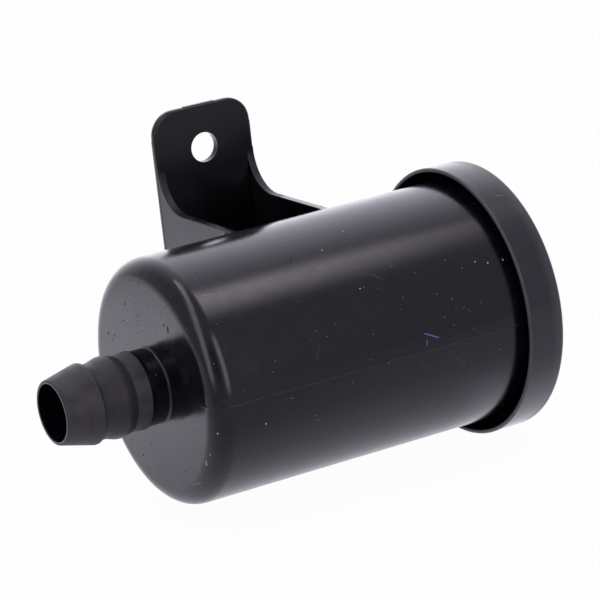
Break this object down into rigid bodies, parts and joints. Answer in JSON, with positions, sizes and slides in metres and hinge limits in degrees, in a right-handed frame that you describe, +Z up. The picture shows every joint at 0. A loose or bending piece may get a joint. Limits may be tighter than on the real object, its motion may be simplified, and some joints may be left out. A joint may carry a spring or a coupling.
{
  "type": "charcoal canister",
  "caption": "Black moulded charcoal canister for fuel vapour: round cup with a hose barb, a bolt-on bracket plate with webs, and an overhanging vented cap.",
  "frame": {"origin": "centre of the bracket's bolt hole, on the plate's rear face", "axes": "+X along the canister's axis from the hose barb towards the vent cap, +Y into the wall that the bracket bolts to, +Z up"},
  "size_m": [0.1076, 0.0681, 0.077],
  "materials": {
    "body_plastic": "semi-gloss moulded, lightly scuffed and dusty",
    "cap_plastic": "satin moulded",
    "filter_felt": "needled felt",
    "activated_carbon": "packed granules",
    "retainer_plastic": "moulded",
    "spring_steel": "drawn wire"
  },
  "bodies": {
    "root": {"canister_body": "body_plastic", "vent_cap": "cap_plastic", "port_filter_pad": "filter_felt", "carbon_bed": "activated_carbon", "vent_filter_pad": "filter_felt", "retainer_plate": "retainer_plastic", "pressure_spring": "spring_steel"}
  },
  "joints": []
}
